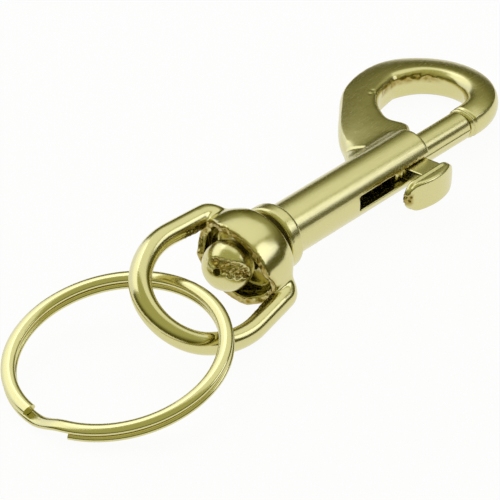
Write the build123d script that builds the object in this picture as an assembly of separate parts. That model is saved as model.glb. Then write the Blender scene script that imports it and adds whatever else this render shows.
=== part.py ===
from build123d import *
import os
from math import cos, radians, sin

# A bolt snap with a swivel eye and a split ring, lying on a table. Lengths are in mm, angles in degrees.
# The snap is drawn along its barrel: +X runs from the collar's front face (X = 0) to the hook, the hook
# opens towards +Y, the thumb button is on -Y, and Z is square to the hook's plane.

# Barrel and collar of the body
barrel_diameter = 7.5
barrel_length = 29.7
barrel_rim = 0.3
collar_diameter = 9.6
collar_width = 2.45
collar_rim = 0.5

# Hook of the body: a back that rises from the barrel, a round nose, and a tip that faces the bolt.
# Its outer and inner lines are each two arcs, and its sections are drawn from one line to the other.
nose_reach = 13.78
nose_radius = 8.5
nose_width = 6.1
nose_height = 4.35
outer_back_radius = 55.0
outer_back_top_deg = 27.5
outer_back_root_deg = 53.1
inner_back_radius = 11.0
inner_back_top_deg = 1.6
inner_back_root_deg = 87.4
root_inset = 0.8
root_rise = 1.0
root_height = 5.75
root_setback = 1.6
tip_width = 4.7
tip_height = 4.35
tip_rim = 0.3
crease_height = 3.0
crease_setback = 0.48
tip_crease_setback = 0.45
inner_round = 1.1
tip_inner_round = 1.9
# Half-way across, the crown has come down by this share of its fall to the crease
crown_share = 0.25

# Stations of the back, from its root to its top: place, and shares of the root's extra height and setback
back_shares = [(0.16, 0.4, 0.6), (0.34, 0.2, 0.15), (0.54, 0.08, 0.0), (0.77, 0.02, 0.0), (1.0, 0.0, 0.0)]
# Stations of the nose, from the top of the back to the tip's bend: place, and share of the change to the tip
nose_shares = [(0.15, 0.0), (0.3, 0.05), (0.45, 0.22), (0.6, 0.5), (0.75, 0.82), (0.88, 0.97), (1.0, 1.0)]

# Bolt: its axis lies a little off the barrel's axis, towards the button
bolt_offset = 0.4
bolt_diameter = 4.3
bolt_clearance = 0.1
bolt_gap = 0.15
bolt_rim = 0.25
bolt_tail = 1.2
gate_gap = 11.3
slot_width = 2.2
slot_length = 16.1
stem_setback = 0.9
stem_length = 4.4
button_lead = 0.25
stem_thickness = 1.8
button_length = 10.5
button_width = 4.4
button_thickness = 2.25
button_standoff = 3.35
button_crown = 1.5
button_outer_round = 0.5
button_inner_round = 0.3

# Spring in the barrel
bore_end = 4.6
spring_wire = 0.45
spring_diameter = 3.8
spring_turns = 8
spring_seat_gap = 0.05

# Tail post with a ball at its end, which holds the eye's hub
post_diameter = 3.6
ball_diameter = 7.1
swivel_clearance = 0.3
swivel_play = 0.9
ball_gap = 0.2

# Swivel eye: a hollow hub and a bail
hub_width = 12.8
hub_height = 10.2
hub_front_width = 11.8
hub_front_height = 9.4
hub_length = 6.0
hub_rim = 0.6
hub_floor = 3.3
hub_end_radius = 6.4
hub_wall = 1.2
shoulder_width = 15.0
shoulder_height = 5.6
shoulder_setback = 0.6
shoulder_length = 4.0
shoulder_corner = 3.6
bail_wire = 3.1
bail_shoulder_width = 15.45
bail_corner = 1.9
leg_length = 6.95
leg_spread_deg = 6.0
side_radius = 13.0
side_turn_deg = 40.0
eye_roll_deg = 33.0
eye_lean_deg = 4.0

# Split ring: two turns of flat wire, with one step where the lower turn climbs to the upper.
# It hangs on the bail, with its nearest point this far inside the bail's end.
ring_diameter = 30.6
ring_wire_width = 1.95
ring_wire_thickness = 1.05
ring_wire_round = 0.45
ring_turn_gap = 0.06
ring_step_deg = 22.0
ring_end_gap_deg = 2.5
# Stations of the step: place along it, and share of the climb
step_shares = [(0.0, 0.0), (0.15, 0.03), (0.35, 0.26), (0.5, 0.5), (0.65, 0.74), (0.85, 0.97), (1.0, 1.0)]
ring_step_place_deg = 181.5
ring_tilt_deg = 14.2
ring_bite = 8.8368
ring_side = 1.36
ring_drop = 0.956

# The snap lies nose down, on its hook and on the ring
lay_deg = 4.06

# One overrun serves all cuts
overrun = 1.0

barrel_radius = barrel_diameter / 2
bore_radius = bolt_diameter / 2 + bolt_clearance
gate_end = barrel_length + gate_gap
stem_front = barrel_length - stem_setback
stem_back = stem_front - stem_length
ring_radius = (ring_diameter - ring_wire_width) / 2


def between(first, last, share):
    return first + (last - first) * share


def rod(radius, start, end):
    """A round bar on the barrel's axis."""
    return extrude(Plane.YZ.offset(start) * Circle(radius), end - start)


def bolt_rod(radius, start, end):
    """A round bar on the bolt's axis."""
    return Pos(0, -bolt_offset, 0) * rod(radius, start, end)


def on_arc(centre, radius, turn):
    """The point of this arc where it runs at this angle to the barrel."""
    slope = radians(turn)
    return centre + Vector(-radius * sin(slope), radius * cos(slope), 0)


def next_centre(centre, radius, new_radius, turn):
    """Centre of an arc of another radius that runs on smoothly from this one at this angle."""
    return on_arc(centre, radius - new_radius, turn)


def hook_section(outer, inner, height, setback, rounding):
    """Section of a plate between these two points: tall and round at its inner side, creased at its outer."""
    width = (outer - inner).length
    across = (outer - inner).normalized()
    plane = Plane((outer + inner) / 2, x_dir=across, z_dir=across.cross(Vector(0, 0, 1)))
    outer_top = (width / 2 - setback, crease_height / 2)
    outer_low = (width / 2 - setback, -crease_height / 2)
    wall = height / 2 - rounding
    inner_top = (rounding - width / 2, height / 2)
    inner_low = (rounding - width / 2, -height / 2)
    round_middle = rounding * cos(radians(45))
    round_across = rounding - width / 2 - round_middle
    crown_across = (inner_top[0] + outer_top[0]) / 2
    crown_height = between(height, crease_height, crown_share) / 2
    return plane * make_face([
        ThreePointArc(inner_top, (crown_across, crown_height), outer_top),
        ThreePointArc(outer_top, (width / 2, 0), outer_low),
        ThreePointArc(outer_low, (crown_across, -crown_height), inner_low),
        ThreePointArc(inner_low, (round_across, -wall - round_middle), (-width / 2, -wall)),
        Line((-width / 2, -wall), (-width / 2, wall)),
        ThreePointArc((-width / 2, wall), (round_across, wall + round_middle), inner_top),
    ])


def make_hook():
    nose_centre = Vector(barrel_length + nose_reach, nose_radius - bolt_offset, 0)
    nose_outer = nose_radius + nose_width / 2
    nose_inner = nose_radius - nose_width / 2
    outer_centre = next_centre(nose_centre, nose_outer, outer_back_radius, outer_back_top_deg)
    inner_centre = next_centre(nose_centre, nose_inner, inner_back_radius, inner_back_top_deg)
    root_outer = on_arc(outer_centre, outer_back_radius, outer_back_root_deg)
    root_inner = Vector(barrel_length - root_inset, root_rise, 0)
    sections = [hook_section(root_outer, root_inner, root_height, root_setback, inner_round)]
    for place, heighten, set_in in back_shares:
        outer_turn = between(outer_back_root_deg, outer_back_top_deg, place)
        inner_turn = between(inner_back_root_deg, inner_back_top_deg, place)
        outer = on_arc(outer_centre, outer_back_radius, outer_turn)
        inner = on_arc(inner_centre, inner_back_radius, inner_turn)
        height = between(nose_height, root_height, heighten)
        setback = between(crease_setback, root_setback, set_in)
        sections.append(hook_section(outer, inner, height, setback, inner_round))
    nose_top_deg = (outer_back_top_deg + inner_back_top_deg) / 2
    for place, slim in nose_shares:
        turn = between(nose_top_deg, -180, place)
        width = between(nose_width, tip_width, slim)
        outer = on_arc(nose_centre, nose_radius + width / 2, turn)
        inner = on_arc(nose_centre, nose_radius - width / 2, turn)
        height = between(nose_height, tip_height, slim)
        setback = between(crease_setback, tip_crease_setback, slim)
        rounding = between(inner_round, tip_inner_round, slim)
        sections.append(hook_section(outer, inner, height, setback, rounding))
    tip_outer = Vector(gate_end, -bolt_offset - tip_width / 2, 0)
    tip_inner = Vector(gate_end, -bolt_offset + tip_width / 2, 0)
    sections.append(hook_section(tip_outer, tip_inner, tip_height, tip_crease_setback, tip_inner_round))
    hook = loft(sections)
    tip_face = hook.faces().sort_by(lambda face: (face.center() - (tip_outer + tip_inner) / 2).length)[0]
    return chamfer(tip_face.edges(), tip_rim)


def make_turned_body():
    """Barrel, collar, tail post and its ball: all round about the barrel's axis."""
    ball_radius = ball_diameter / 2
    ball_middle = -(collar_width + swivel_play + hub_floor + ball_gap + ball_radius)
    neck = ball_middle + (ball_radius**2 - (post_diameter / 2) ** 2) ** 0.5
    ball_start = (neck, post_diameter / 2)
    ball_end = (ball_middle - ball_radius, 0)
    ball = ThreePointArc(ball_end, (ball_middle, ball_radius), ball_start)
    outside = Polyline(
        ball_start,
        (-collar_width, post_diameter / 2),
        (-collar_width, collar_diameter / 2),
        (0, collar_diameter / 2),
        (0, barrel_radius),
        (barrel_length, barrel_radius),
        (barrel_length, 0),
        ball_end,
    )
    profile = make_face([ball, outside])
    collar_corners = profile.vertices().filter_by(lambda corner: corner.Y == collar_diameter / 2)
    profile = fillet(collar_corners, collar_rim)
    front_corner = profile.vertices().filter_by(lambda corner: corner.Y == barrel_radius).sort_by(Axis.X)[-1]
    profile = fillet(front_corner, barrel_rim)
    return revolve(profile, Axis.X)


def make_body():
    body = make_turned_body() + make_hook()
    bore = bolt_rod(bore_radius, bore_end, gate_end - overrun)
    slot = Pos(barrel_length - slot_length, 0, 0) * Box(
        slot_length + overrun, barrel_diameter, slot_width, align=(Align.MIN, Align.MAX, Align.CENTER)
    )
    return body - bore - slot


def make_bolt():
    pin = bolt_rod(bolt_diameter / 2, stem_back - bolt_tail, gate_end - bolt_gap)
    pin = chamfer(pin.edges().filter_by(GeomType.CIRCLE), bolt_rim)
    button_back = barrel_radius + button_standoff
    stem = Pos(stem_back, 0, 0) * Box(
        stem_length, button_back, stem_thickness, align=(Align.MIN, Align.MAX, Align.CENTER)
    )
    button_middle = stem_front + button_lead - button_length / 2
    outline_plane = Plane((button_middle, -button_back, 0), x_dir=(1, 0, 0), z_dir=(0, -1, 0))
    button = extrude(outline_plane * SlotOverall(button_length, button_width), button_thickness)
    crown_radius = ((button_length / 2) ** 2 + button_crown**2) / (2 * button_crown)
    crown_centre = Pos(button_middle, crown_radius - button_back - button_thickness, 0)
    button = button & extrude(crown_centre * Circle(crown_radius), button_width, both=True)
    outer_face = button.faces().sort_by(Axis.Y)[0]
    button = fillet(outer_face.edges(), button_outer_round)
    button = fillet(button.faces().sort_by(Axis.Y)[-1].edges(), button_inner_round)
    return pin + stem + button


def make_spring():
    free_length = stem_back - bolt_tail - bore_end - 2 * spring_seat_gap
    coil_radius = (spring_diameter - spring_wire) / 2
    height = free_length - spring_wire
    path = Helix(height / spring_turns, height, coil_radius, center=(0, 0, 0), direction=(0, 0, 1))
    wire = sweep(Plane(path @ 0, z_dir=path % 0) * Circle(spring_wire / 2), path, is_frenet=True)
    return Pos(bore_end + spring_seat_gap + spring_wire / 2, -bolt_offset, 0) * Rot(0, 90, 0) * wire


def bail_points():
    """One side of the bail's line: a corner at the hub, a leg that opens out, a side arc, the end's apex."""
    spread = radians(leg_spread_deg)
    side_end = radians(leg_spread_deg - side_turn_deg)
    side_middle = radians(leg_spread_deg - side_turn_deg / 2)
    turned = radians(90 - leg_spread_deg)
    crossing = -(collar_width + swivel_play + shoulder_setback + bail_wire / 2)
    corner_middle = (crossing - bail_corner, bail_shoulder_width / 2 - bail_corner * sin(turned))

    def on_corner(direction):
        along = corner_middle[0] + bail_corner * cos(direction)
        across = corner_middle[1] + bail_corner * sin(direction)
        return (along, across)

    root = (crossing, corner_middle[1])
    corner = on_corner(turned / 2)
    leg_start = on_corner(turned)
    leg_end = (leg_start[0] - leg_length * cos(spread), leg_start[1] + leg_length * sin(spread))

    def on_side(direction):
        along = leg_end[0] + side_radius * (sin(direction) - sin(spread))
        across = leg_end[1] + side_radius * (cos(direction) - cos(spread))
        return (along, across)

    arc_middle = on_side(side_middle)
    arc_end = on_side(side_end)
    end_radius = arc_end[1] / cos(side_end)
    apex = (arc_end[0] - end_radius * (1 + sin(side_end)), 0)
    return root, corner, leg_start, leg_end, arc_middle, arc_end, apex


def make_bail():
    """The bail's wire: two legs that spring from the hub, and an end of three tangent arcs."""
    root, corner, leg_start, leg_end, arc_middle, arc_end, apex = bail_points()
    hub_middle = (root[0], 0)

    def other(point):
        return (point[0], -point[1])

    path = Wire([
        Line(hub_middle, root),
        ThreePointArc(root, corner, leg_start),
        Line(leg_start, leg_end),
        ThreePointArc(leg_end, arc_middle, arc_end),
        ThreePointArc(arc_end, apex, other(arc_end)),
        ThreePointArc(other(arc_end), other(arc_middle), other(leg_end)),
        Line(other(leg_end), other(leg_start)),
        ThreePointArc(other(leg_start), other(corner), other(root)),
        Line(other(root), hub_middle),
    ])
    return sweep(Plane(path @ 0, z_dir=path % 0) * Circle(bail_wire / 2), path)


def make_hub():
    """A hollow ball-ended hub with a shoulder to each leg, and the hollow that is cut in it."""
    front = -(collar_width + swivel_play)
    rear = front - hub_length
    hub = loft([
        Plane.YZ.offset(rear) * Ellipse(hub_front_width / 2, hub_front_height / 2),
        Plane.YZ.offset((front + rear) / 2) * Ellipse(hub_width / 2, hub_height / 2),
        Plane.YZ.offset(front) * Ellipse(hub_front_width / 2, hub_front_height / 2),
    ])
    hub = fillet(hub.faces().sort_by(Axis.X)[-1].edges(), hub_rim)
    end_round = extrude(Pos(rear + hub_end_radius, 0, 0) * Circle(hub_end_radius), hub_height, both=True)
    front_part = Plane.YZ.offset(rear + hub_end_radius) * Rectangle(2 * hub_width, 2 * hub_height)
    hub = hub & (end_round + extrude(front_part, hub_length))
    shoulder_middle = front - shoulder_setback - shoulder_length / 2
    plan = Pos(shoulder_middle, 0, 0) * Rectangle(shoulder_length, shoulder_width)
    plan = fillet(plan.vertices().sort_by(Axis.X)[-2:], shoulder_corner)
    plan_block = extrude(plan, shoulder_height, both=True)
    oval = extrude(Plane.YZ.offset(rear) * Ellipse(shoulder_width / 2, shoulder_height / 2), hub_length)
    pocket_oval = Ellipse(hub_width / 2 - hub_wall, hub_height / 2 - hub_wall)
    pocket = extrude(Plane.YZ.offset(rear - overrun) * pocket_oval, hub_length - hub_floor + overrun)
    hole = rod(post_diameter / 2 + swivel_clearance, rear, front + overrun)
    return hub + (plan_block & oval), pocket + hole


def make_eye():
    hub, hollow = make_hub()
    eye = hub + make_bail() - hollow
    pivot = Pos(-(collar_width + swivel_play + hub_floor / 2), 0, 0)
    return Rot(eye_roll_deg, 0, 0) * pivot * Rot(0, 0, eye_lean_deg) * pivot.inverse() * eye


def ring_section(turn, level):
    """The flat wire's section at this turn round the ring and this height above its middle."""
    angle = radians(turn)
    outward = (cos(angle), sin(angle), 0)
    place = (ring_radius * cos(angle), ring_radius * sin(angle), level)
    plane = Plane(place, x_dir=outward, z_dir=(-sin(angle), cos(angle), 0))
    return plane * RectangleRounded(ring_wire_width, ring_wire_thickness, ring_wire_round)


def make_ring():
    """Two flat turns, and between their ends the step where the lower turn climbs to the upper."""
    rise = ring_wire_thickness + ring_turn_gap
    turn = 360 - ring_step_deg - ring_end_gap_deg
    step_start = -ring_step_deg / 2
    step_end = ring_step_deg / 2
    lower = revolve(ring_section(step_start, -rise / 2), Axis.Z, -turn)
    upper = revolve(ring_section(step_end, rise / 2), Axis.Z, turn)
    step_sections = []
    for place, climb in step_shares:
        step_turn = between(step_start, step_end, place)
        step_sections.append(ring_section(step_turn, between(-rise / 2, rise / 2, climb)))
    ring = lower + loft(step_sections) + upper
    bail_end = bail_points()[-1][0]
    nearest = Pos(bail_end + ring_bite, ring_side, -ring_drop) * Rot(0, -ring_tilt_deg, 0)
    return nearest * Pos(-ring_radius, 0, 0) * Rot(0, 0, ring_step_place_deg) * ring


nodes = {
    "hook_body": make_body(),
    "bolt": make_bolt(),
    "bolt_spring": make_spring(),
    "swivel_eye": make_eye(),
    "split_ring": make_ring(),
}

# The snap is laid down, and the origin goes to the middle of the table under it
lay = Rot(0, lay_deg, 0)
laid = {name: lay * solid for name, solid in nodes.items()}
box = Compound(children=[Compound(solid.solids()) for solid in laid.values()]).bounding_box()
origin = Vector((box.min.X + box.max.X) / 2, (box.min.Y + box.max.Y) / 2, box.min.Z)
print("origin in the laid frame", origin)

os.makedirs("parts", exist_ok=True)
for name, solid in laid.items():
    export_step(Pos(*(-origin)) * solid, f"parts/{name}.step")
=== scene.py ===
# %% [markdown]
# # A plated bolt snap on a split ring
# The snap is a small zinc die casting with a plated, pale gold finish. It lies on a white table with
# its swivel eye, sliding bolt and split ring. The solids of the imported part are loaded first, and
# everything after that gives them the soft edges, rough spots and finish of a real casting.

# %% Load the part
import math

import bpy
from mathutils import Matrix, Vector, noise


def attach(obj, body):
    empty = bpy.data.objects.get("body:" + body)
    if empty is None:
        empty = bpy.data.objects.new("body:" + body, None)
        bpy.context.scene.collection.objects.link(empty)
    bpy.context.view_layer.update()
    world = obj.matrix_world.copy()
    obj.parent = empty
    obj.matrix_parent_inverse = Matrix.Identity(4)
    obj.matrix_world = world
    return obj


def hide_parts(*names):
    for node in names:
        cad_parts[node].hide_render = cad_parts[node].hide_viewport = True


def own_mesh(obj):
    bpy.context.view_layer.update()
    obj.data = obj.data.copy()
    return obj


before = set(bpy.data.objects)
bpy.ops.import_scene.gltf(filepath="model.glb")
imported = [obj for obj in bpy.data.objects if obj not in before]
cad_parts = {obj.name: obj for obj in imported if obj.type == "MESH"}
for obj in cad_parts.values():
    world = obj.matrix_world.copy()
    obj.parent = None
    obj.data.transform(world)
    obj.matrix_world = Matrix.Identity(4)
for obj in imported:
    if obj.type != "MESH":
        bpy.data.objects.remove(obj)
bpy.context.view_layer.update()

mm = 0.001

# %% [markdown]
# ## Camera
# The photo was taken with a long lens from behind the ring, looking down at about a third of a right
# angle. The camera's place was fitted to the barrel, the hook and the ring, so it is simply written
# down here. A long lens keeps the ring's near side from looking swollen.

# %% Place the camera
camera_data = bpy.data.cameras.new("photo_camera")
camera_data.sensor_width = 36
camera_data.lens = 236.9
camera = bpy.data.objects.new("photo_camera", camera_data)
camera.location = Vector((-286.74, -243.62, 247.64)) * mm
camera.rotation_euler = [math.radians(turn) for turn in (56.661, 2.576, -50.671)]
bpy.context.collection.objects.link(camera)
bpy.context.scene.camera = camera
print("camera stands", round(camera.location.length / mm), "mm from the middle of the table")

# %% [markdown]
# ## The snap's own directions
# The snap lies nose down on the table, so its barrel slopes a little. Pieces are easier to model along
# the barrel, so this matrix carries them from the barrel's directions to the table's. In the barrel's
# directions X runs from the collar to the hook, the button is on -Y, and Z is square to the hook. Small
# forms are drawn in plain mm, and a second matrix scales them to Blender's metres.

# %% Barrel's directions
lay = math.radians(4.06)
collar_front = Vector((-4.0952, -2.745, 5.9206)) * mm
barrel_place = Matrix.Translation(collar_front) @ Matrix.Rotation(lay, 4, "Y")
in_mm = Matrix.Scale(mm, 4)

# %% [markdown]
# ## Softening a casting
# A die casting has no sharp edges: the mould's corners are rounded, and tumbling before plating rounds
# them more. Bevelling every edge by hand is slow where lofted and turned forms meet. A voxel remesh of
# a copy rounds all edges alike, in the way that tumbling does, and a few rounds of smoothing take out
# the steps that the voxels leave. The voxels are smaller than the roundings of the real casting, and
# they run along the piece's own directions, so that straight edges such as the slot's stay straight.

# %% Copy a solid and soften it
weld_distance = 0.0005 * mm
smoothing_share = 0.5


def only(thing):
    """Selects this object alone and makes it active."""
    bpy.ops.object.select_all(action="DESELECT")
    thing.select_set(True)
    bpy.context.view_layer.objects.active = thing


def merged_copy(node, name):
    """A copy of a CAD node whose loose triangles are joined up."""
    only(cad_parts[node])
    bpy.ops.object.duplicate()
    piece = bpy.context.active_object
    piece.name = name
    bpy.ops.object.mode_set(mode="EDIT")
    bpy.ops.mesh.select_all(action="SELECT")
    bpy.ops.mesh.remove_doubles(threshold=weld_distance)
    bpy.ops.object.mode_set(mode="OBJECT")
    return piece


def soften(piece, place, voxel, rounds):
    """Remeshes a casting along its own directions and tumbles its edges round."""
    only(piece)
    piece.data.transform(place.inverted())
    remesh = piece.modifiers.new("voxels", "REMESH")
    remesh.mode = "VOXEL"
    remesh.voxel_size = voxel
    remesh.use_smooth_shade = True
    smooth = piece.modifiers.new("tumbling", "SMOOTH")
    smooth.factor = smoothing_share
    smooth.iterations = rounds
    bpy.ops.object.modifier_apply(modifier="voxels")
    bpy.ops.object.modifier_apply(modifier="tumbling")
    piece.data.transform(place)
    bpy.ops.object.shade_smooth()
    print(piece.name, len(piece.data.polygons), "faces")


body = merged_copy("hook_body", "snap_body")
soften(body, barrel_place, voxel=0.19 * mm, rounds=4)

# %% [markdown]
# ## The bolt's parting line
# The pin was cast between two halves of a mould, and a little metal crept in between them. It shows as
# a fine ridge along the side of the pin that the thumb button is on. A thin bar laid along the pin
# before the remesh becomes one surface with it, so the ridge has the same soft edges as the rest.

# %% Lay the ridge along the pin
bolt = merged_copy("bolt", "snap_bolt")
pin_radius = 2.15
pin_offset = -0.4
ridge_start = 27.5
ridge_end = 40.7
ridge_depth = 0.7
ridge_width = 0.2
ridge_sink = 0.23
bpy.ops.object.select_all(action="DESELECT")
bpy.ops.mesh.primitive_cube_add(size=1)
ridge = bpy.context.active_object
ridge_size = Matrix.Diagonal((ridge_end - ridge_start, ridge_depth, ridge_width, 1))
ridge_side = pin_offset - pin_radius + ridge_sink
ridge_middle = Matrix.Translation(((ridge_start + ridge_end) / 2, ridge_side, 0))
ridge.data.transform(barrel_place @ in_mm @ ridge_middle @ ridge_size)
only(bolt)
ridge.select_set(True)
bpy.ops.object.join()
soften(bolt, barrel_place, voxel=0.12 * mm, rounds=4)

# %% [markdown]
# ## The eye's own directions
# The eye has turned and leans a little on its post, so its strap and rough spots are easier to place
# along its own length. This matrix carries the eye's directions to the table's.

# %% The eye's directions
eye_turn = math.radians(33)
eye_tip = math.radians(4)
post_middle = Matrix.Translation(Vector((-5.0, 0, 0)) * mm)
eye_lean = post_middle @ Matrix.Rotation(eye_tip, 4, "Z") @ post_middle.inverted()
eye_place = barrel_place @ Matrix.Rotation(eye_turn, 4, "X") @ eye_lean
print("eye turned", [round(math.degrees(turn), 1) for turn in eye_place.to_euler()])

# %% [markdown]
# ## The strap round the hub
# Seen from behind, the hub is a broad oval strap that runs straight across from leg to leg and hides
# the front of the ball. A ring of vertices is extruded from its rear edge to its front edge and widened
# on the way, so that the strap is a little crowned. A bent plane would need its two ends matched up,
# and the ring closes by itself.

# %% Extrude the strap
strap_width = 13.8
strap_height = 10.3
strap_wall = 1.25
strap_stations = [(-9.9, 0.985), (-8.8, 1.0), (-7.2, 1.0), (-5.6, 0.985), (-4.4, 0.94), (-3.8, 0.88)]
bpy.ops.object.select_all(action="DESELECT")
bpy.ops.mesh.primitive_circle_add(vertices=96, radius=1)
strap = bpy.context.active_object
strap.name = "hub_strap"
strap_rear, rear_share = strap_stations[0]
rear_size = Matrix.Diagonal((strap_width / 2 * rear_share, strap_height / 2 * rear_share, 1, 1))
strap.data.transform(Matrix.Translation((0, 0, strap_rear)) @ rear_size)
bpy.ops.object.mode_set(mode="EDIT")
bpy.ops.mesh.select_all(action="SELECT")
last_place, last_share = strap_rear, rear_share
for station, share in strap_stations[1:]:
    bpy.ops.mesh.extrude_edges_move(TRANSFORM_OT_translate={"value": (0, 0, station - last_place)})
    widen = share / last_share
    bpy.ops.transform.resize(value=(widen, widen, 1), center_override=(0, 0, station))
    last_place, last_share = station, share
bpy.ops.mesh.select_all(action="SELECT")
bpy.ops.mesh.normals_make_consistent(inside=False)
bpy.ops.object.mode_set(mode="OBJECT")
print("strap without its wall", len(strap.data.polygons), "faces")

# %% [markdown]
# At its two ends the rear edge comes forward a little, where the legs leave it. Solidify then gives the
# strap its wall. The strap was drawn upright, so it is turned over to lie along the eye. Laid over the
# copy of the eye before the remesh, it becomes one casting with it.

# %% Shape the rear edge and join the strap to the eye
end_lead = 1.5


def fade(value, none, full):
    """Rises from 0 at the one value to 1 at the other."""
    return min(max((value - none) / (full - none), 0), 1)


def rear_lead(across):
    """How far the strap's rear edge has come forward at this distance from its middle, in mm."""
    return end_lead * fade(abs(across), 4.8, strap_width / 2)


for vertex in strap.data.vertices:
    vertex.co.z += rear_lead(vertex.co.x) * fade(vertex.co.z, -5.6, strap_rear)
wall = strap.modifiers.new("wall", "SOLIDIFY")
wall.thickness = strap_wall
wall.offset = -1
wall.use_even_offset = True
only(strap)
bpy.ops.object.modifier_apply(modifier="wall")
turned_over = Matrix(((0, 0, 1, 0), (1, 0, 0, 0), (0, 1, 0, 0), (0, 0, 0, 1)))
strap.data.transform(eye_place @ in_mm @ turned_over)
print("strap", len(strap.data.polygons), "faces")
eye = merged_copy("swivel_eye", "snap_eye")
only(eye)
strap.select_set(True)
bpy.ops.object.join()
soften(eye, eye_place, voxel=0.15 * mm, rounds=12)

# %% [markdown]
# ## Where forms run into each other
# On the real castings the strap flows into the bail's legs like a saddle, and the hook's plate flows
# into the barrel. The solids meet there in narrow corners. Many more rounds of smoothing on just those
# vertices, held by a vertex group that fades out, melt the corners together and leave the wire and the
# barrel as they were. The strap's outside gets some rounds too, because its gloss shows small steps.
# In each spot below, a fade takes the place where the spot begins and the place where it is full, in
# mm along the barrel's or the eye's own directions.

# %% Melt the shoulders, the strap and the plate's corner


def weigh(piece, name, place, amount):
    """A vertex group whose weights come from each vertex's place in mm, in the given directions."""
    group = piece.vertex_groups.new(name=name)
    back_to_place = place.inverted()
    for vertex in piece.data.vertices:
        x, y, z = (back_to_place @ vertex.co) / mm
        weight = amount(x, y, z)
        if weight > 0:
            group.add([vertex.index], weight, "REPLACE")


def melt(piece, name, place, amount, rounds):
    """Smooths only the vertices that the weights pick out."""
    weigh(piece, name, place, amount)
    melting = piece.modifiers.new(name, "SMOOTH")
    melting.factor = smoothing_share
    melting.iterations = rounds
    melting.vertex_group = name
    only(piece)
    bpy.ops.object.modifier_apply(modifier=name)
    piece.vertex_groups.remove(piece.vertex_groups[name])
    print(name, "melted in", rounds, "rounds")


def strap_share(y, z):
    """How far out a place lies, as a share of the strap's oval."""
    return math.sqrt((y / (strap_width / 2)) ** 2 + (z / (strap_height / 2)) ** 2)


def near_shoulder(x, y, z):
    beside_hub = fade(abs(y), 4.6, 5.8) * fade(abs(y), 9.4, 8.2)
    return beside_hub * fade(x, -8.6, -7.0) * fade(abs(z), 4.2, 3.2)


def on_strap(x, y, z):
    along = fade(x, -9.5, -8.8) * fade(x, -3.7, -4.4)
    return along * fade(strap_share(y, z), 0.9, 0.95) * fade(abs(y), 6.0, 5.0)


def in_valley(x, y, z):
    along = fade(x, 18, 21.5) * fade(x, 29.5, 28.4)
    across = fade(y, 0.4, 1.9) * fade(y, 7.5, 5.0)
    return along * across * fade(abs(z), 0.6, 1.4)


melt(eye, "shoulders", eye_place, near_shoulder, rounds=110)
melt(eye, "strap", eye_place, on_strap, rounds=80)
melt(body, "valley", barrel_place, in_valley, rounds=280)

# %% [markdown]
# ## Rough spots of the casting
# Cheap castings keep some flash: thin, ragged metal where the mould's halves met or where the gate was
# broken off. Carving it by hand would take long and gain little. A Displace modifier with a cloud
# texture, held to one spot by a vertex group, tears the surface in the same chance way each time. The
# weights are also kept as an attribute, so that the plating can be dull and brown in these spots.

# %% Helpers that press in, tear and split the surface


def press(piece, name, depth):
    """Sinks the vertices of a group straight into the surface."""
    pressed = piece.modifiers.new("pressed_in", "DISPLACE")
    pressed.strength = -depth
    pressed.mid_level = 0
    pressed.vertex_group = name
    only(piece)
    bpy.ops.object.modifier_apply(modifier="pressed_in")
    print(name, "pressed in by", round(depth / mm, 2), "mm")


def tear(piece, name, depth, grain):
    """Moves the vertices of a group in and out by a cloud pattern, and remembers where that was."""
    clouds = bpy.data.textures.new(name, "CLOUDS")
    clouds.noise_scale = grain
    clouds.noise_depth = 1
    torn = piece.modifiers.new("torn", "DISPLACE")
    torn.texture = clouds
    torn.texture_coords = "LOCAL"
    torn.strength = depth
    torn.vertex_group = name
    only(piece)
    bpy.ops.object.modifier_apply(modifier="torn")
    if "rough_cast" not in piece.data.attributes:
        piece.data.attributes.new("rough_cast", "FLOAT", "POINT")
    index = piece.vertex_groups[name].index
    marks = piece.data.attributes["rough_cast"].data
    count = 0
    for vertex in piece.data.vertices:
        for membership in vertex.groups:
            if membership.group == index:
                marks[vertex.index].value = max(marks[vertex.index].value, membership.weight)
                count += 1
    piece.vertex_groups.remove(piece.vertex_groups[name])
    print(name, count, "vertices")


def split_faces(piece, name):
    """Cuts the faces of a vertex group in four, so that finer tears can be made in them."""
    only(piece)
    piece.vertex_groups.active_index = piece.vertex_groups[name].index
    bpy.ops.object.mode_set(mode="EDIT")
    bpy.ops.mesh.select_mode(type="VERT")
    bpy.ops.mesh.select_all(action="DESELECT")
    bpy.ops.object.vertex_group_select()
    bpy.ops.mesh.subdivide(number_cuts=1)
    bpy.ops.object.mode_set(mode="OBJECT")


# %% [markdown]
# ## The broken gate
# The gate, where molten metal came in, was at the ball on the tail post. It was broken off there, and a
# ragged band runs across the ball. The band's edge is made uneven by noise, the faces in it are split
# for finer tears, and then it is sunk below the ball's surface and torn.

# %% Break the gate off the ball
ball_middle = Vector((-10.4, 0, 0))
ball_radius = 3.55
ball_inside = 3.0
ball_front = -7.6
break_middle = Vector((-0.631, -0.646, 0.425)).normalized()
break_side = Vector((0.523, -0.008, 0.827)).normalized()
break_along = break_side.cross(break_middle)
break_half_width = 0.29
break_shift = 0.02
break_turn = 4


def on_break(x, y, z):
    """The ragged band across the ball, measured in shares of its radius and in degrees along it."""
    out = Vector((x, y, z)) - ball_middle
    if x > ball_front or out.length < ball_inside:
        return 0
    out.normalize()
    ragged = 0.10 * noise.noise(out * 6) + 0.06 * noise.noise(out * 15)
    across = abs(out.dot(break_side) + break_shift + ragged)
    along = math.degrees(math.atan2(out.dot(break_along), out.dot(break_middle))) - break_turn
    half_width = break_half_width * math.sqrt(fade(abs(along), 56, 15))
    return fade(across, half_width + 0.02, half_width - 0.05)


weigh(body, "gate_break", barrel_place, on_break)
split_faces(body, "gate_break")
press(body, "gate_break", depth=0.35 * mm)
tear(body, "gate_break", depth=0.55 * mm, grain=0.7 * mm)

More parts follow.
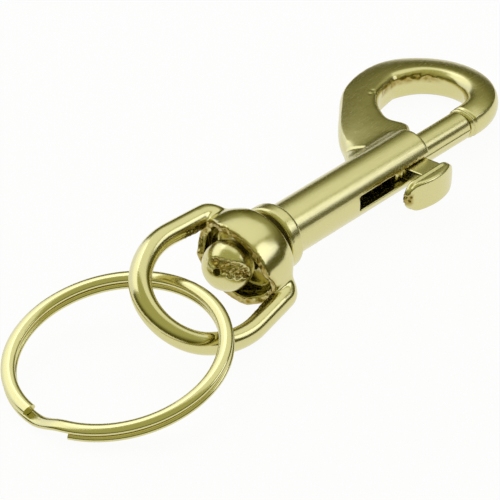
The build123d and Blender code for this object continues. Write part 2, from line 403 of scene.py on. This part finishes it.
# %% [markdown]
# ## The blow hole
# Beside the break a gas bubble left a small round hole that narrows inwards. A cone taken away by a
# Boolean makes it in one step. The exact solver is used, because the torn faces near it are uneven.

# %% Take the blow hole out of the ball
hole_out = Vector((-0.952, -0.232, 0.198)).normalized()
hole_floor_radius = 0.25
hole_mouth_radius = 0.62
hole_depth = 1.5
hole_sink = 0.4
bpy.ops.object.select_all(action="DESELECT")
bpy.ops.mesh.primitive_cone_add(
    vertices=20, radius1=hole_floor_radius, radius2=hole_mouth_radius, depth=hole_depth
)
drill = bpy.context.active_object
drill_turn = hole_out.to_track_quat("Z", "Y").to_matrix().to_4x4()
drill_place = Matrix.Translation(ball_middle + hole_out * (ball_radius - hole_sink)) @ drill_turn
drill.data.transform(barrel_place @ in_mm @ drill_place)
blow = body.modifiers.new("blow_hole", "BOOLEAN")
blow.operation = "DIFFERENCE"
blow.object = drill
blow.solver = "EXACT"
only(body)
bpy.ops.object.modifier_apply(modifier="blow_hole")
bpy.data.objects.remove(drill)
print("body with its hole", len(body.data.polygons), "faces")

# %% [markdown]
# ## Flash
# More flash lies in the hook's eye, along the slot's upper edge, round the hub's rear edge, inside the
# bail's legs and on the button's rear end. In the hook's eye its brown lies in a band under the rim,
# where it also paints the dark reflection that this wall shows. Each spot has its own weights, depth
# and grain, so one loop tears them all.

# %% Flash on the body, the eye and the bolt
hook_eye_middle = Vector((43.48, 8.1))
hook_eye_reach = 5.95


# The band under the hook eye's rim gets the flash's brown, which also paints a dark reflection there.
def in_hook_eye(x, y, z):
    inside = (Vector((x, y)) - hook_eye_middle).length < hook_eye_reach
    return inside * fade(y, 8.5, 10.5) * fade(x, 38, 40) * fade(z, 0.2, 0.8) * fade(z, 1.9, 1.4)


def on_slot_edge(x, y, z):
    along = fade(x, 16.5, 18) * fade(x, 28.5, 26)
    return along * fade(y, -3.0, -3.3) * fade(z, 0.8, 1.05) * fade(z, 1.8, 1.35)


def on_hub_edge(x, y, z):
    if abs(y) > 6.6 or x < -11:
        return 0
    out = strap_share(y, z)
    behind_edge = fade(x - strap_rear - rear_lead(y), 0.8, 0.3)
    return behind_edge * fade(out, 0.68, 0.76) * fade(out, 1.0, 0.94)


def in_bail(x, y, z):
    along = fade(x, -13.5, -11) * fade(x, -6.5, -7.5)
    inside_leg = fade(abs(y), 7.6, 7.0) * fade(abs(y), 5.6, 6.0)
    return along * inside_leg * fade(abs(z), 1.2, 0.7)


def on_button_end(x, y, z):
    return fade(x, 19.6, 19.0) * fade(y, -8.7, -8.3) * fade(abs(z), 1.1, 0.6)


for piece, name, place, amount, depth, grain in (
    (body, "hook_eye_flash_and_reflection", barrel_place, in_hook_eye, 0.32 * mm, 0.8 * mm),
    (body, "slot_flash", barrel_place, on_slot_edge, 0.2 * mm, 0.5 * mm),
    (eye, "hub_flash", eye_place, on_hub_edge, 0.3 * mm, 0.7 * mm),
    (eye, "bail_flash", eye_place, in_bail, 0.35 * mm, 0.45 * mm),
    (bolt, "button_burr", barrel_place, on_button_end, 0.5 * mm, 0.4 * mm),
):
    weigh(piece, name, place, amount)
    tear(piece, name, depth, grain)

# %% [markdown]
# ## Small marks of the mould and of use
# The nose has a turned line round its tip, the button has a step along its side, the hook's crease ends
# in a short notch, and the plate has three pits. All of these are sunk lines or spots a fraction of a
# millimetre deep, so a plain Displace along the normals, held by weights, presses them in.

# %% Press the small marks in
pits = [Vector((37.2, 12.9)), Vector((37.9, 12.6)), Vector((38.3, 13.3))]
notch_start = Vector((23.2, 6.1))
notch_end = Vector((24.0, 4.0))
tip_line_place = 41.75
button_step_place = -7.9


def in_pits(x, y, z):
    nearest = min((Vector((x, y)) - pit).length for pit in pits)
    return fade(z, 1.0, 1.5) * fade(nearest, 0.4, 0.1)


def in_notch(x, y, z):
    run = notch_end - notch_start
    along = min(max((Vector((x, y)) - notch_start).dot(run) / run.length_squared, 0), 1)
    aside = (Vector((x, y)) - notch_start - run * along).length
    return fade(abs(z), 0.6, 0.9) * fade(aside, 0.35, 0.1)


def round_tip(x, y, z):
    return fade(abs(x - tip_line_place), 0.32, 0.1) * fade(y, 3.4, 2.8)


def on_button_step(x, y, z):
    return fade(abs(y - button_step_place), 0.25, 0.08) * fade(abs(z), 1.5, 1.9)


for piece, name, amount, depth in (
    (body, "plate_pits", in_pits, 0.07 * mm),
    (body, "crease_notch", in_notch, 0.13 * mm),
    (body, "tip_line", round_tip, 0.2 * mm),
    (bolt, "button_step", on_button_step, 0.18 * mm),
):
    weigh(piece, name, barrel_place, amount)
    press(piece, name, depth)
    piece.vertex_groups.remove(piece.vertex_groups[name])

# %% [markdown]
# ## What the castings stand for
# Each finished casting takes the place of its solid and moves with that solid's body when a joint moves.

# %% Castings ride on their bodies
for piece, node, carrier, finish in (
    (body, "hook_body", "body", "plated_zinc_body"),
    (bolt, "bolt", "bolt", "plated_zinc_bolt"),
    (eye, "swivel_eye", "eye", "plated_zinc_eye"),
):
    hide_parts(node)
    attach(piece, carrier)
    print(piece.name, "rides on", carrier)

# %% [markdown]
# ## Split ring
# The ring is one length of flat spring wire wound twice round, with a step where one turn climbs onto
# the other. A curve with a bevel profile could follow that path, but its profile twists on the climb.
# Here the wire's section is drawn once, spun round for the lower turn, carried up the step in short
# extrusions, and spun round again, so that the flat sides stay flat.

# %% Spin the ring
ring_radius = 14.324 * mm
wire_width = 1.95 * mm
wire_thickness = 1.05 * mm
turn_gap = 0.06 * mm
rise = wire_thickness + turn_gap
step_degrees = 22
end_gap_degrees = 2.5
step_angle = math.radians(step_degrees)
turn_angle = math.radians(360 - step_degrees - end_gap_degrees)
spin_steps = 150
climbs = [0.03, 0.13, 0.30, 0.5, 0.70, 0.87, 0.97, 1.0]

bpy.ops.object.select_all(action="DESELECT")
bpy.ops.mesh.primitive_circle_add(vertices=24, radius=0.5, fill_type="NGON")
ring = bpy.context.active_object
ring.name = "split_ring_wire"
start = Matrix.Rotation(-step_angle / 2 - turn_angle, 4, "Z")
section = Matrix.Translation((ring_radius, 0, -rise / 2)) @ Matrix.Rotation(math.pi / 2, 4, "X")
size = Matrix.Diagonal((wire_width, wire_thickness, 1, 1))
ring.data.transform(start @ section @ size)
bpy.ops.object.mode_set(mode="EDIT")
bpy.ops.mesh.select_all(action="SELECT")
bpy.ops.mesh.spin(steps=spin_steps, angle=-turn_angle, center=(0, 0, 0), axis=(0, 0, 1))
climbed = 0
for climb in climbs:
    bpy.ops.mesh.extrude_region_move()
    bpy.ops.transform.rotate(value=-step_angle / len(climbs), orient_axis="Z", center_override=(0, 0, 0))
    bpy.ops.transform.translate(value=(0, 0, rise * (climb - climbed)))
    climbed = climb
bpy.ops.mesh.spin(steps=spin_steps, angle=-turn_angle, center=(0, 0, 0), axis=(0, 0, 1))
bpy.ops.mesh.select_all(action="SELECT")
bpy.ops.mesh.remove_doubles(threshold=weld_distance)
bpy.ops.mesh.normals_make_consistent(inside=False)
bpy.ops.object.mode_set(mode="OBJECT")
print("ring before placing", [round(side / mm, 2) for side in ring.dimensions])

# %% [markdown]
# The finished ring goes to its place on the bail: its nearest point lies inside the eye, it is tilted so
# that its far side rests on the table, and its step is turned to the near left.

# %% Hang the ring on the bail
ring_nearest = Vector((-17.2548, 1.36, -0.956)) * mm
ring_tilt = math.radians(-14.2)
step_turn = math.radians(181.5)
hang = Matrix.Translation(ring_nearest) @ Matrix.Rotation(ring_tilt, 4, "Y")
step_place = Matrix.Translation((-ring_radius, 0, 0)) @ Matrix.Rotation(step_turn, 4, "Z")
ring.data.transform(barrel_place @ hang @ step_place)
only(ring)
bpy.ops.object.shade_smooth_by_angle(angle=math.radians(40))
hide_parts("split_ring")
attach(ring, "ring")
print("ring's wire", [tuple(ring.bound_box[corner]) for corner in (0, 6)])

# %% [markdown]
# ## Bolt spring
# A coil of steel wire in the barrel pushes the bolt shut. Little of it shows in the slot, so a circle
# wound by the Screw modifier is enough.

# %% Wind the spring
spring_start = 4.875
spring_end = 22.925
spring_turns = 8
spring_wire_radius = 0.22
coil_radius = 1.675
steps_in_turn = 28
bpy.ops.object.select_all(action="DESELECT")
bpy.ops.mesh.primitive_circle_add(
    vertices=10, radius=spring_wire_radius * mm, rotation=(math.pi / 2, 0, 0)
)
spring = bpy.context.active_object
spring.name = "coil_spring"
bpy.ops.object.transform_apply()
spring.data.transform(Matrix.Translation(Vector((coil_radius, 0, 0)) * mm))
wind = spring.modifiers.new("winding", "SCREW")
wind.axis = "Z"
wind.angle = 2 * math.pi
wind.iterations = spring_turns
wind.screw_offset = (spring_end - spring_start) / spring_turns * mm
wind.steps = steps_in_turn
wind.render_steps = steps_in_turn
bpy.ops.object.modifier_apply(modifier="winding")
bpy.ops.object.mode_set(mode="EDIT")
bpy.ops.mesh.select_all(action="SELECT")
bpy.ops.mesh.remove_doubles(threshold=weld_distance)
bpy.ops.mesh.fill_holes(sides=0)
bpy.ops.mesh.select_all(action="SELECT")
bpy.ops.mesh.normals_make_consistent(inside=False)
bpy.ops.object.mode_set(mode="OBJECT")
spring_foot = Matrix.Translation(Vector((spring_start, pin_offset, 0)) * mm)
spring.data.transform(barrel_place @ spring_foot @ Matrix.Rotation(math.pi / 2, 4, "Y"))
only(spring)
bpy.ops.object.shade_smooth_by_angle(angle=math.radians(60))
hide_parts("bolt_spring")
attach(spring, "body")
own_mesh(spring)
print("spring", len(spring.data.polygons), "faces")

# %% [markdown]
# ## Colours and nodes
# Colours are written as they would be picked on a screen, so they are turned to linear light once, in
# one function. One more small function adds a node, its settings and its links, which keeps each
# material below readable as a list of steps. A Mix node keeps sockets for several kinds of value side
# by side, so those for its two colours and for the mixed colour are called by number.

# %% Small helpers for materials
first_colour = 6
second_colour = 7
mixed_colour = 2


def linear(hex_colour):
    """A screen colour such as #D8CE86 as linear red, green, blue and alpha."""
    parts = [int(hex_colour[i : i + 2], 16) / 255 for i in (1, 3, 5)]
    return [c / 12.92 if c <= 0.04045 else ((c + 0.055) / 1.055) ** 2.4 for c in parts] + [1]


def add(tree, kind, settings=None, links=None):
    """A new node. Settings set its values or inputs, links join other nodes' sockets to its own."""
    node = tree.nodes.new(kind)
    for key, value in (settings or {}).items():
        if isinstance(key, str) and hasattr(node, key):
            setattr(node, key, value)
        else:
            node.inputs[key].default_value = value
    for key, source in (links or {}).items():
        tree.links.new(source, node.inputs[key])
    return node


def blank(name):
    """A new material with an empty node tree."""
    material = bpy.data.materials.new(name)
    material.use_nodes = True
    material.node_tree.nodes.clear()
    return material


print("middle grey is", [round(part, 3) for part in linear("#808080")])

# %% [markdown]
# ## Gold plating
# The castings were tumbled, brushed along their length and plated with a thin pale gold metal. The
# brushing gives the barrel and the hook a soft, lengthwise sheen. Plating doesn't reach into hollows
# well, so these are less metallic, and brown is painted into them as shade: ambient occlusion, which
# looks how closed in each spot is, mixes it in. The sheen comes from noise drawn out along the barrel,
# and the brown of the rough spots from the marks that tearing left. One function makes both finishes,
# because they differ only in how strongly they were brushed: the body and the bolt are satin, the eye
# and the ring are polished.

# %% Plating, brushed and polished
line_length = 4 * mm
line_width = 0.1 * mm
line_depth = 0.02 * mm
ripple_length = 2.5 * mm
ripple_depth = 0.06 * mm
ripple_strength = 0.15
speck = 0.8 * mm
hollow_reach = 2.5 * mm
gold = "#D6CF94"
# The brown of the hollows is painted shade.
painted_hollow_shade = "#6A541A"
cast_brown = "#9A8434"
cast_roughness = 0.22
hollow_metal = 0.4


def plating(name, brushing, smoothest, roughest):
    """Pale gold plating with brushing lines along the barrel and brown painted shade in its hollows."""
    material = blank(name)
    tree = material.node_tree
    where = add(tree, "ShaderNodeTexCoord").outputs["Object"]
    level = add(tree, "ShaderNodeMapping", {"Rotation": (0, -lay, 0)}, {"Vector": where})
    drawn = add(
        tree, "ShaderNodeMapping", {"Scale": (1 / line_length, 1 / line_width, 1 / line_width)},
        {"Vector": level.outputs["Vector"]},
    )
    lines = add(
        tree, "ShaderNodeTexNoise", {"Scale": 1.0, "Detail": 3.0}, {"Vector": drawn.outputs["Vector"]}
    )
    waves = add(
        tree, "ShaderNodeTexNoise", {"Scale": 1 / ripple_length, "Detail": 1.0}, {"Vector": where}
    )
    specks = add(tree, "ShaderNodeTexNoise", {"Scale": 1 / speck, "Detail": 2.0}, {"Vector": where})
    rough_cast = add(tree, "ShaderNodeAttribute", {"attribute_name": "rough_cast"})
    sheen = add(
        tree, "ShaderNodeMapRange",
        {"From Min": 0.3, "From Max": 0.7, "To Min": smoothest, "To Max": roughest},
        {"Value": lines.outputs["Fac"]},
    )
    dulled = add(
        tree, "ShaderNodeMapRange", {"To Max": cast_roughness},
        {"Value": rough_cast.outputs["Fac"], "To Min": sheen.outputs["Result"]},
    )
    line_bump = add(
        tree, "ShaderNodeBump", {"Strength": brushing, "Distance": line_depth},
        {"Height": lines.outputs["Fac"]},
    )
    wave_bump = add(
        tree, "ShaderNodeBump", {"Strength": ripple_strength, "Distance": ripple_depth},
        {"Height": waves.outputs["Fac"], "Normal": line_bump.outputs["Normal"]},
    )
    closed_in = add(tree, "ShaderNodeAmbientOcclusion", {"samples": 8, "Distance": hollow_reach})
    open_share = add(
        tree, "ShaderNodeMapRange", {"From Min": 0.04, "From Max": 0.34},
        {"Value": closed_in.outputs["AO"]},
    )
    # Painted shade: brown mixed into the gold where ambient occlusion finds a spot closed in.
    shaded = add(
        tree, "ShaderNodeMix",
        {"data_type": "RGBA", first_colour: linear(painted_hollow_shade), second_colour: linear(gold)},
        {"Factor": open_share.outputs["Result"]},
    )
    brown = add(
        tree, "ShaderNodeMapRange", {"From Min": 0.4, "From Max": 0.6, "To Min": 0.55, "To Max": 0.95},
        {"Value": specks.outputs["Fac"]},
    )
    cast = add(
        tree, "ShaderNodeMath", {"operation": "MULTIPLY"},
        {0: rough_cast.outputs["Fac"], 1: brown.outputs["Result"]},
    )
    stained = add(
        tree, "ShaderNodeMix", {"data_type": "RGBA", second_colour: linear(cast_brown)},
        {"Factor": cast.outputs["Value"], first_colour: shaded.outputs[mixed_colour]},
    )
    bare = add(
        tree, "ShaderNodeMapRange", {"To Min": hollow_metal, "To Max": 1.0},
        {"Value": open_share.outputs["Result"]},
    )
    metal = add(
        tree, "ShaderNodeBsdfPrincipled", {},
        {
            "Base Color": stained.outputs[mixed_colour],
            "Metallic": bare.outputs["Result"],
            "Roughness": dulled.outputs["Result"],
            "Normal": wave_bump.outputs["Normal"],
        },
    )
    add(tree, "ShaderNodeOutputMaterial", {}, {"Surface": metal.outputs["BSDF"]})
    print(name, len(tree.nodes), "nodes")
    return material


brushed = plating("brushed_gold_plating", brushing=0.03, smoothest=0.2, roughest=0.28)
polished = plating("polished_gold_plating", brushing=0.02, smoothest=0.14, roughest=0.2)

# %% [markdown]
# ## Spring steel
# The spring is steel wire, and its colour is a dark brown painted shade, as dark as the inside of the
# slot where it shows. Fine noise in the roughness keeps its turns from shining all alike. With the
# steel made, every piece can be given its finish.

# %% Spring steel in painted shade, and a finish for every piece
# The spring's dark brown is painted shade, as dark as the shade inside the slot.
slot_shade_brown = "#30261A"
steel_grain = 0.4 * mm
steel = blank("spring_steel_in_painted_shade")
tree = steel.node_tree
where = add(tree, "ShaderNodeTexCoord").outputs["Object"]
grain = add(tree, "ShaderNodeTexNoise", {"Scale": 1 / steel_grain, "Detail": 2.0}, {"Vector": where})
sheen = add(
    tree, "ShaderNodeMapRange", {"To Min": 0.5, "To Max": 0.65}, {"Value": grain.outputs["Fac"]}
)
metal = add(
    tree, "ShaderNodeBsdfPrincipled", {"Metallic": 1.0, "Base Color": linear(slot_shade_brown)},
    {"Roughness": sheen.outputs["Result"]},
)
add(tree, "ShaderNodeOutputMaterial", {}, {"Surface": metal.outputs["BSDF"]})
for piece, finish in (
    (body, brushed), (bolt, brushed), (eye, polished), (ring, polished), (spring, steel),
):
    piece.data.materials.clear()
    piece.data.materials.append(finish)
    print(piece.name, "is", finish.name)

# %% [markdown]
# ## White table
# A product photo like this has a white paper table that runs out of the picture. Paper under soft light
# would come out grey, and more light would bleach the metal. So the camera and the reflections see the
# paper mostly as plain white, and the rest of it is matt paper that keeps the snap's faint shadow.

# %% Lay the table
table_width = 3
table_drop = 0.02 * mm
white_share = 0.95
bpy.ops.mesh.primitive_plane_add(size=table_width, location=(0, 0, -table_drop))
floor = bpy.context.active_object
floor.name = "white_table"
paper = blank("white_paper")
tree = paper.node_tree
ray = add(tree, "ShaderNodeLightPath")
white = add(tree, "ShaderNodeEmission", {"Strength": 1.0})
sheet = add(tree, "ShaderNodeBsdfDiffuse", {"Color": linear("#FAFAF8")})
seen = add(
    tree, "ShaderNodeMath", {"operation": "MAXIMUM"},
    {0: ray.outputs["Is Camera Ray"], 1: ray.outputs["Is Glossy Ray"]},
)
whitened = add(
    tree, "ShaderNodeMath", {"operation": "MULTIPLY", 1: white_share}, {0: seen.outputs["Value"]}
)
mixed = add(
    tree, "ShaderNodeMixShader", {},
    {0: whitened.outputs["Value"], 1: sheet.outputs["BSDF"], 2: white.outputs["Emission"]},
)
add(tree, "ShaderNodeOutputMaterial", {}, {"Surface": mixed.outputs["Shader"]})
floor.data.materials.append(paper)
print("table", table_width, "m wide")

# %% [markdown]
# ## Room
# Metal shows its surroundings, so these matter as much as the lamps. The white table makes the low sides
# cream, dim olive walls make the slopes dark, and a paler ceiling fills what faces up. A picture of a
# room could stand round the snap, but a plain gradient by height gives the same soft change and takes
# two colours to set.

# %% Paint the room
wall_colour = "#565216"
ceiling_colour = "#B8B886"
room = bpy.data.worlds.new("dim_room")
bpy.context.scene.world = room
room.use_nodes = True
tree = room.node_tree
tree.nodes.clear()
where = add(tree, "ShaderNodeTexCoord").outputs["Generated"]
height = add(tree, "ShaderNodeSeparateXYZ", {}, {"Vector": where})
upward = add(
    tree, "ShaderNodeMapRange", {"interpolation_type": "SMOOTHSTEP", "From Min": 0.2, "From Max": 0.7},
    {"Value": height.outputs["Z"]},
)
walls = add(
    tree, "ShaderNodeMix",
    {"data_type": "RGBA", first_colour: linear(wall_colour), second_colour: linear(ceiling_colour)},
    {"Factor": upward.outputs["Result"]},
)
glow = add(tree, "ShaderNodeBackground", {"Strength": 1.0}, {"Color": walls.outputs[mixed_colour]})
add(tree, "ShaderNodeOutputWorld", {}, {"Surface": glow.outputs["Background"]})
print(room.name, len(tree.nodes), "nodes")

# %% [markdown]
# ## Lamps
# Three soft boxes stand round the snap: a large one on the left for the pale curves of the ring and the
# bail, one above for the top of the barrel, and a small bright one on the right for the white streak
# along the barrel. They are a little cool, as daylight lamps are, which keeps the streaks white on a
# yellow metal.

# %% Hang the soft boxes
lamp_distance = 0.7
daylight = (0.95, 0.99, 1.3)


def softbox(name, turn, rise, width, height, brightness):
    """A soft rectangle of light that faces the snap, this far round and up, and this many times white."""
    data = bpy.data.lights.new(name, "AREA")
    data.shape = "RECTANGLE"
    data.size = width
    data.size_y = height
    data.energy = brightness * math.pi * width * height
    data.color = daylight
    lamp = bpy.data.objects.new(name, data)
    round_snap = math.radians(turn)
    up = math.tan(math.radians(rise))
    away = Vector((math.cos(round_snap), math.sin(round_snap), up)).normalized()
    lamp.location = away * lamp_distance
    lamp.rotation_euler = away.to_track_quat("Z", "Y").to_euler()
    bpy.context.collection.objects.link(lamp)
    print(name, round(data.energy, 2), "watts")


softbox("left_softbox", turn=92, rise=33, width=0.8, height=0.9, brightness=1.0)
softbox("top_softbox", turn=15, rise=57, width=0.8, height=0.52, brightness=0.58)
softbox("right_softbox", turn=-43, rise=29, width=0.32, height=0.26, brightness=1.4)
bpy.context.scene.view_settings.view_transform = "Standard"
